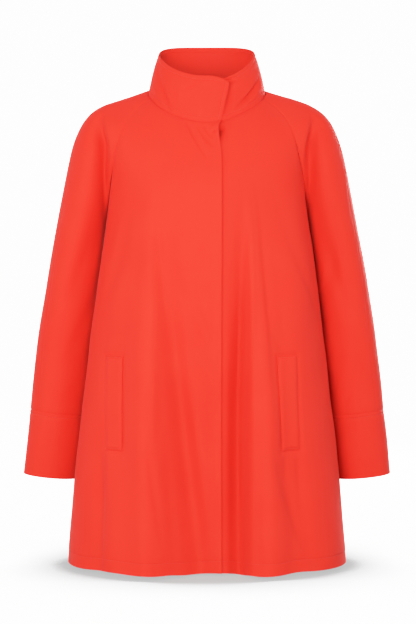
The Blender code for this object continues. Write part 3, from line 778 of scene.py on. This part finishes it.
def sewn_faces(points, out, borders, stitched, thickness):
    """Outer and inner faces of a sheet, with seams turned in, rims rounded and stitched lines drawn in."""
    distances = dict(zip(BORDERS, from_borders(points)))
    height = np.zeros(points.shape[:2])
    rim = np.zeros_like(height)
    half = 0.5 * thickness

    def pucker(border, away):
        along = distances["top" if border in ("left", "right") else "left"]
        return PUCKER * ripple(along) * away / PUCKER_REACH * np.exp(1.0 - away / PUCKER_REACH)

    for border, kind in borders.items():
        away = distances[border]
        if kind in SEAM_DIPS:
            seam = pucker(border, away) - SEAM_DIPS[kind] * bell(away, SEAM_ROLL)
            height = height + seam * armpit_calm(points)
        else:
            turn = np.clip(1.0 - away / half, 0.0, 1.0)
            rim = np.maximum(rim, RIM_ROUNDING * half * (1.0 - np.sqrt(1.0 - turn ** 2)))
    for border, inset in stitched.items():
        away = distances[border] - inset
        height = height + pucker(border, np.abs(away)) - STITCH_GROOVE * bell(away, STITCH_GROOVE_WIDTH)
        if inset == HEM_STITCH:
            height = height - HEM_PRESS * ease(-away / HEM_PRESS_RAMP)
    outer = points + out * (height - rim)[..., None]
    inner = points + out * (height - thickness + rim)[..., None]
    return outer, inner


def lay_grid(bm, points, facing_out):
    """A grid of faces on the points, top row first: its vertices, and the row and column of each."""
    rows, columns = points.shape[:2]
    made = bmesh.ops.create_grid(bm, x_segments=columns - 1, y_segments=rows - 1, size=1.0)["verts"]
    places = []
    for vert in made:
        column = round((vert.co.x + 1.0) / 2.0 * (columns - 1))
        row = round((1.0 - vert.co.y) / 2.0 * (rows - 1))
        vert.co = points[row, column]
        places.append((row, column))
    if not facing_out:
        faces = {face for vert in made for face in vert.link_faces}
        bmesh.ops.reverse_faces(bm, faces=list(faces))
    return made, places


def cloth_wall(name, outer, inner, closed):
    """A mesh of cloth between two faces, closed along its rims, with a map of its own cut in metres."""
    bm = bmesh.new()
    cut_map = bm.loops.layers.uv.new("cut")
    left, _, top, _ = from_borders(outer)
    middle = left[:, left.shape[1] // 2]
    for points, facing_out in ((outer, True), (inner, False)):
        made, places = lay_grid(bm, points, facing_out)
        for vert, (row, column) in zip(made, places):
            on_cut = (left[row, column] - middle[row], -top[row, column])
            for loop in vert.link_loops:
                loop[cut_map].uv = on_cut
        if closed:
            bmesh.ops.remove_doubles(bm, verts=made, dist=WELD_DISTANCE)
    rims = [[edge for edge in bm.edges if edge.is_boundary]]
    if closed:
        middle_z = outer[..., 2].mean()
        upper = [edge for edge in rims[0] if edge.verts[0].co.z > middle_z]
        lower = [edge for edge in rims[0] if edge.verts[0].co.z <= middle_z]
        rims = [upper, lower]
    for edges in rims:
        bmesh.ops.bridge_loops(bm, edges=edges)
    mesh = bpy.data.meshes.new(name)
    bm.to_mesh(mesh)
    bm.free()
    mesh.shade_smooth()
    mesh.set_sharp_from_angle(angle=SHARP_ANGLE)
    return mesh


def stitched_line(points, out, border, inset):
    """Points of a line that runs at a distance inside a border of a sheet, and the way out at each."""
    away = from_borders(points)[BORDERS.index(border)]
    sheet = np.concatenate([points, out], axis=-1)
    if border in ("top", "bottom"):
        away = away.T
        sheet = sheet.transpose(1, 0, 2)
    line = []
    for distances, values in zip(away, sheet):
        order = np.argsort(distances)
        line.append([np.interp(inset, distances[order], values[order, i]) for i in range(6)])
    line = np.array(line)
    return line[:, :3], line[:, 3:]


def one_stitch():
    """Points and faces of one stitch, a rounded bead of unit size."""
    bm = bmesh.new()
    bmesh.ops.create_uvsphere(bm, u_segments=STITCH_SIDES, v_segments=STITCH_RINGS, radius=0.5)
    points = np.array([vert.co[:] for vert in bm.verts])
    faces = [[vert.index for vert in face.verts] for face in bm.faces]
    bm.free()
    return points, faces


def stitch_row(line, out, clear):
    """Points of a row of stitches along a line, half sunk in the cloth and clear of both its ends."""
    runs = np.linalg.norm(np.diff(line, axis=0), axis=-1).cumsum()
    runs = np.concatenate([[0.0], runs])
    at = np.arange(clear + STITCH_PITCH, runs[-1] - clear - STITCH_PITCH, STITCH_PITCH)

    def place(distances, values):
        return np.stack([np.interp(distances, runs, values[:, i]) for i in range(3)], axis=-1)

    ahead = place(at + STITCH_PITCH / 2.0, line) - place(at - STITCH_PITCH / 2.0, line)
    ahead = ahead / np.linalg.norm(ahead, axis=-1, keepdims=True)
    up = place(at, out)
    up = up / np.linalg.norm(up, axis=-1, keepdims=True)
    aside = np.cross(up, ahead)
    bead, _ = one_stitch()
    size = np.array([STITCH_LENGTH, STITCH_WIDTH, STITCH_WIDTH])
    axes = np.stack([ahead, aside, up], axis=1)
    return place(at, line)[:, None] + np.einsum("vk,nkc->nvc", bead * size, axes)


def stitches(name, rows):
    """One mesh of all the stitches of a piece."""
    beads = np.concatenate(rows)
    _, faces = one_stitch()
    count = beads.shape[1]
    all_faces = [[count * i + corner for corner in face] for i in range(len(beads)) for face in faces]
    mesh = bpy.data.meshes.new(name)
    mesh.from_pydata(beads.reshape(-1, 3).tolist(), [], all_faces)
    mesh.shade_smooth()
    return mesh


def linear(hex_colour):
    """An sRGB hex colour as linear red, green, blue and full cover."""
    shares = np.array([int(hex_colour[i:i + 2], 16) / 255.0 for i in (1, 3, 5)])
    levels = np.where(shares <= 0.04045, shares / 12.92, ((shares + 0.055) / 1.055) ** 2.4)
    return (*levels, 1.0)


def new_finish(name):
    """A material with nothing in its node tree yet."""
    finish = bpy.data.materials.new(name)
    finish.use_nodes = True
    finish.node_tree.nodes.clear()
    return finish


def add_node(finish, kind, output=None, inputs=None, **settings):
    """Adds a node with its settings, its inputs set or linked, and gives it or its named output."""
    tree = finish.node_tree
    node = tree.nodes.new("ShaderNode" + kind)
    for name, value in settings.items():
        setattr(node, name, value)
    for name, value in (inputs or {}).items():
        if isinstance(value, bpy.types.NodeSocket):
            tree.links.new(value, node.inputs[name])
        else:
            node.inputs[name].default_value = value
    return node if output is None else node.outputs[output]


# Where a mix of two colours keeps its share, its colours and its result
MIX_SHARE, MIX_FIRST, MIX_SECOND, MIX_RESULT = 0, 6, 7, 2

# Cotton gabardine: its twill lines, the slubs along its warp and its patches of dye
# One period of the wave texture is this share of its scaled coordinate
WAVE_PERIOD = 2.0 * np.pi / 20.0
TWILL_ANGLE = np.radians(63.0)
TWILL_PITCH = 0.0016
SLUB_WIDTH = 0.0011
SLUB_LENGTH = 0.024
DYE_PATCH = 0.055
THREAD_TWIST = 0.0012


def cotton_gabardine():
    """Cotton gabardine, woven in a steep fine twill and dyed tomato red.

    It is matt with a soft sheen where it turns away, nearly even in colour, with faint slubs along its warp.
    The twill is drawn at about three times its real pitch, because the real one is too fine to show.
    """
    cloth = new_finish("cotton_gabardine")
    places = add_node(cloth, "TexCoord").outputs
    cut = places["UV"]
    turned = add_node(cloth, "Mapping", "Vector", {"Vector": cut, "Rotation": (0.0, 0.0, TWILL_ANGLE)})
    lines = {"Vector": turned, "Scale": WAVE_PERIOD / TWILL_PITCH, "Distortion": 0.6, "Detail": 1.0}
    twill = add_node(cloth, "TexWave", "Fac", lines)
    drawn_out = {"Vector": cut, "Scale": (1.0 / SLUB_WIDTH, 1.0 / SLUB_LENGTH, 1.0)}
    warp = add_node(cloth, "Mapping", "Vector", drawn_out)
    slub = add_node(cloth, "TexNoise", "Fac", {"Vector": warp, "Scale": 1.0, "Detail": 2.0})
    patches = {"Vector": places["Object"], "Scale": 1.0 / DYE_PATCH, "Detail": 3.0}
    dye = add_node(cloth, "TexNoise", "Fac", patches)
    shade = add_node(cloth, "Math", "Value", {0: dye, 1: slub}, operation="ADD")
    share = add_node(cloth, "MapRange", "Result", {"Value": shade, "From Min": 0.6, "From Max": 1.4})
    reds = {MIX_SHARE: share, MIX_FIRST: linear("#CB271B"), MIX_SECOND: linear("#CF2B1E")}
    levels = {"Value": slub, "From Min": 0.3, "From Max": 0.7, "To Min": 0.66, "To Max": 0.76}
    threads = add_node(cloth, "Bump", "Normal", {"Height": twill, "Strength": 0.10, "Distance": 0.0003})
    relief = {"Height": slub, "Strength": 0.12, "Distance": 0.0004, "Normal": threads}
    surface = {
        "Base Color": add_node(cloth, "Mix", MIX_RESULT, reds, data_type="RGBA"),
        "Roughness": add_node(cloth, "MapRange", "Result", levels),
        "Normal": add_node(cloth, "Bump", "Normal", relief),
        "Specular IOR Level": 0.055,
        "Sheen Weight": 0.03,
        "Sheen Roughness": 0.45,
        "Sheen Tint": linear("#FFD8CF"),
    }
    shader = add_node(cloth, "BsdfPrincipled", "BSDF", surface)
    add_node(cloth, "OutputMaterial", inputs={"Surface": shader})
    return cloth


def sewing_thread():
    """Spun polyester thread, twisted and dyed to match: a little glossier and darker than the cloth."""
    thread = new_finish("sewing_thread")
    place = add_node(thread, "TexCoord", "Object")
    fibres = {"Vector": place, "Scale": 1.0 / THREAD_TWIST, "Detail": 1.0}
    twist = add_node(thread, "TexNoise", "Fac", fibres)
    reds = {MIX_SHARE: twist, MIX_FIRST: linear("#A6221A"), MIX_SECOND: linear("#B82B1F")}
    relief = {"Height": twist, "Strength": 0.2, "Distance": 0.0001}
    surface = {
        "Base Color": add_node(thread, "Mix", MIX_RESULT, reds, data_type="RGBA"),
        "Roughness": 0.55,
        "Normal": add_node(thread, "Bump", "Normal", relief),
        "Specular IOR Level": 0.4,
    }
    shader = add_node(thread, "BsdfPrincipled", "BSDF", surface)
    add_node(thread, "OutputMaterial", inputs={"Surface": shader})
    return thread


def placed(name, data):
    """An object of a mesh, light or camera, put in the scene."""
    piece = bpy.data.objects.new(name, data)
    bpy.context.scene.collection.objects.link(piece)
    return piece


def finish_cloth(node, sheet, thickness, borders, held, rests_on, stitched=None, closed=False):
    """Makes one piece of cloth that stands for its solid, with its stitches, and measures its cut."""
    points, out = sheet
    stitched = stitched or {}
    outer, inner = sewn_faces(points, out, borders, stitched, thickness)
    mesh = cloth_wall(node + "_cloth", outer, inner, closed)
    mesh.materials.append(CLOTH_FINISH)
    piece = placed(node + "_cloth", mesh)
    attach(piece, "root")
    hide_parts(node)
    if stitched:
        clear = 0.0 if closed else thickness
        lines = [stitched_line(outer, out, border, inset) for border, inset in stitched.items()]
        rows = [stitch_row(*line, clear) for line in lines]
        thread_mesh = stitches(node + "_stitches", rows)
        thread_mesh.materials.append(THREAD_FINISH)
        thread = placed(node + "_stitches", thread_mesh)
        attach(thread, "root")
    flat, area = cut_size(points)
    return piece


def make_coat():
    """All the pieces of cloth, each sewn to its neighbours."""
    hem = {"bottom": HEM_STITCH}
    rims = dict.fromkeys(BORDERS, "rim")
    seams = {**dict.fromkeys(BORDERS, "seam"), "top": "neck"}
    on_collar = ("hung", ["collar_cloth"])
    for side, name, welt in ((-1.0, "right", RIGHT_WELT), (1.0, "left", LEFT_WELT)):
        seam, edge = ("left", "right") if side < 0.0 else ("right", "left")
        borders = {seam: "seam", "top": "neck", edge: "rim", "bottom": "rim"}
        finish_cloth(f"front_{name}", front_cloth(side), CLOTH, borders, *on_collar, hem)
        ends = {"top": WELT_STITCH, "bottom": WELT_STITCH}
        on_front = [f"front_{name}_cloth"]
        finish_cloth(f"pocket_welt_{name}", welt_cloth(welt), WELT_CLOTH, rims, "laid", on_front, ends)
        for face in ("front", "back"):
            finish_cloth(f"sleeve_{face}_{name}", half_sleeve_cloth(face, side), CLOTH, seams, *on_collar)
        borders = {"top": "cuff", "bottom": "rim"}
        top = {"top": EDGE_STITCH}
        above = [f"sleeve_front_{name}_cloth", f"sleeve_back_{name}_cloth"]
        finish_cloth(f"cuff_{name}", cuff_cloth(side), CUFF_CLOTH, borders, "hung", above, top, closed=True)
    finish_cloth("back", back_cloth(), CLOTH, {**seams, "bottom": "rim"}, *on_collar, hem)
    borders = {**rims, "bottom": "seam"}
    rows = {"top": EDGE_STITCH, "right": EDGE_STITCH, "bottom": EDGE_STITCH + COLLAR_TUCK}
    finish_cloth("collar", collar_cloth(), COLLAR_CLOTH, borders, "draped", ["back_cloth"], rows)


# Studio: a white floor inside a far round wall, the camera in front of the coat and soft light
FLOOR_Z = -0.8205
FLOOR_RADIUS = 9.0
FLOOR_SIDES = 96
WALL_COVE = 1.5
WALL_TURNS = 12
WALL_TOP_Z = 7.0
PAPER_GLOW = 1.9
# Painted shadow on the floor: the paper's glow is turned down to grey where the coat hides the room from it
SHADOW_GLOW = 0.52
SHADOW_REACH = 1.0
SHADOW_DEEP = 0.58
SHADOW_END = 0.80
SHADOW_RAYS = 32
CAMERA_DISTANCE = 2.6
CAMERA_X = 0.0017
CAMERA_Z = -0.3845
FRAME_HEIGHT = 1.0858
SENSOR = 36.0
ROOM_LIGHT = 0.38

# How the picture's brightness follows the light: bright tones roll off softly, as on film, and in all colours
ALL_COLOURS = 3
FILM_RESPONSE = ((0.35, 0.35), (0.70, 0.66), (0.95, 0.815), (1.20, 0.885), (1.70, 0.963), (2.20, 1.0))


def paper_with_painted_shadow():
    """Matt white studio paper that glows plain white by itself, with a painted shadow: its glow drops to grey
    where the coat covers it.
    """
    paper = new_finish("paper_with_painted_shadow")
    # Painted shadow: how open the paper is to the room sets its glow, so it greys under and beside the coat
    painted_shadow_openness = add_node(paper, "AmbientOcclusion", "AO", {"Distance": SHADOW_REACH}, samples=SHADOW_RAYS)
    levels = {
        "Value": painted_shadow_openness,
        "From Min": SHADOW_DEEP,
        "From Max": SHADOW_END,
        "To Min": SHADOW_GLOW,
        "To Max": PAPER_GLOW,
    }
    surface = {
        "Base Color": (0.06, 0.06, 0.06, 1.0),
        "Roughness": 0.9,
        "Specular IOR Level": 0.0,
        "Emission Color": (1.0, 1.0, 1.0, 1.0),
        "Emission Strength": add_node(paper, "MapRange", "Result", levels),
    }
    shader = add_node(paper, "BsdfPrincipled", "BSDF", surface)
    add_node(paper, "OutputMaterial", inputs={"Surface": shader})
    return paper


def stage_piece(name, bm, paper):
    """A piece of the studio made from a bmesh. It throws no light on the coat."""
    mesh = bpy.data.meshes.new(name)
    bm.to_mesh(mesh)
    bm.free()
    mesh.shade_smooth()
    mesh.materials.append(paper)
    piece = placed(name, mesh)
    piece.visible_diffuse = False
    return piece


def white_studio():
    """A round white floor with a wall far out all round it, which lets the room's light through."""
    paper = paper_with_painted_shadow()
    bm = bmesh.new()
    bmesh.ops.create_circle(bm, cap_ends=True, segments=FLOOR_SIDES, radius=FLOOR_RADIUS)
    bmesh.ops.translate(bm, verts=bm.verts, vec=(0.0, 0.0, FLOOR_Z))
    stage_piece("white_floor_with_painted_shadow", bm, paper)
    bm = bmesh.new()
    turns = np.linspace(0.0, np.pi / 2.0, WALL_TURNS + 1)
    out = FLOOR_RADIUS + WALL_COVE * np.sin(turns)
    up = FLOOR_Z + WALL_COVE * (1.0 - np.cos(turns))
    profile = [bm.verts.new((x, 0.0, z)) for x, z in zip(out, up)]
    profile.append(bm.verts.new((out[-1], 0.0, WALL_TOP_Z)))
    edges = [bm.edges.new(pair) for pair in zip(profile[:-1], profile[1:])]
    bmesh.ops.spin(
        bm,
        geom=profile + edges,
        cent=(0.0, 0.0, 0.0),
        axis=(0.0, 0.0, 1.0),
        angle=2.0 * np.pi,
        steps=FLOOR_SIDES,
        use_merge=True,
    )
    wall = stage_piece("white_wall", bm, paper)
    wall.visible_shadow = False


SoftLight = namedtuple("SoftLight", "name x y z aim_x aim_z size watts")
SOFT_LIGHTS = (
    SoftLight("key_softbox", -0.32, -1.50, -0.15, 0.0, -0.24, 0.7, 37.0),
    SoftLight("left_softbox", -2.4, -1.1, -0.25, 0.0, -0.40, 1.2, 31.0),
    SoftLight("right_softbox", 2.1, -1.8, 0.1, 0.0, -0.40, 1.2, 46.5),
    SoftLight("back_softbox", 1.2, 2.0, 0.1, 0.0, -0.40, 1.0, 70.0),
    SoftLight("top_softbox", 0.0, 0.2, 2.1, 0.0, -0.20, 1.6, 26.0),
)


def studio_light():
    """A soft box close before the chest, larger ones at both sides, behind and above, in a white room."""
    for box in SOFT_LIGHTS:
        light = bpy.data.lights.new(box.name, "AREA")
        light.size = box.size
        light.energy = box.watts
        holder = placed(box.name, light)
        holder.location = (box.x, box.y, box.z)
        aim = np.array([box.aim_x - box.x, -box.y, box.aim_z - box.z])
        flat = np.hypot(aim[0], aim[1])
        holder.rotation_euler = (np.arctan2(flat, -aim[2]), 0.0, np.arctan2(-aim[0], aim[1]))
        holder.visible_camera = False
    room = bpy.data.worlds.new("white_room")
    room.use_nodes = True
    air = room.node_tree.nodes["Background"].inputs
    air["Color"].default_value = (1.0, 1.0, 1.0, 1.0)
    air["Strength"].default_value = ROOM_LIGHT
    bpy.context.scene.world = room


def front_camera():
    """The camera level with the coat's middle, straight in front of it, and how its picture takes light."""
    camera = bpy.data.cameras.new("front_camera")
    camera.sensor_fit = "VERTICAL"
    camera.sensor_height = SENSOR
    camera.lens = SENSOR * CAMERA_DISTANCE / FRAME_HEIGHT
    holder = placed("front_camera", camera)
    holder.location = (CAMERA_X, -CAMERA_DISTANCE, CAMERA_Z)
    holder.rotation_euler = (np.pi / 2.0, 0.0, 0.0)
    bpy.context.scene.camera = holder
    picture = bpy.context.scene.view_settings
    picture.view_transform = "Standard"
    picture.use_curve_mapping = True
    response = picture.curve_mapping
    response.clip_max_x = FILM_RESPONSE[-1][0]
    curve = response.curves[ALL_COLOURS]
    curve.points[-1].location = FILM_RESPONSE[-1]
    for light, shade in FILM_RESPONSE[:-1]:
        curve.points.new(light, shade)
    response.update()


CLOTH_FINISH = cotton_gabardine()
THREAD_FINISH = sewing_thread()
make_coat()
white_studio()
studio_light()
front_camera()
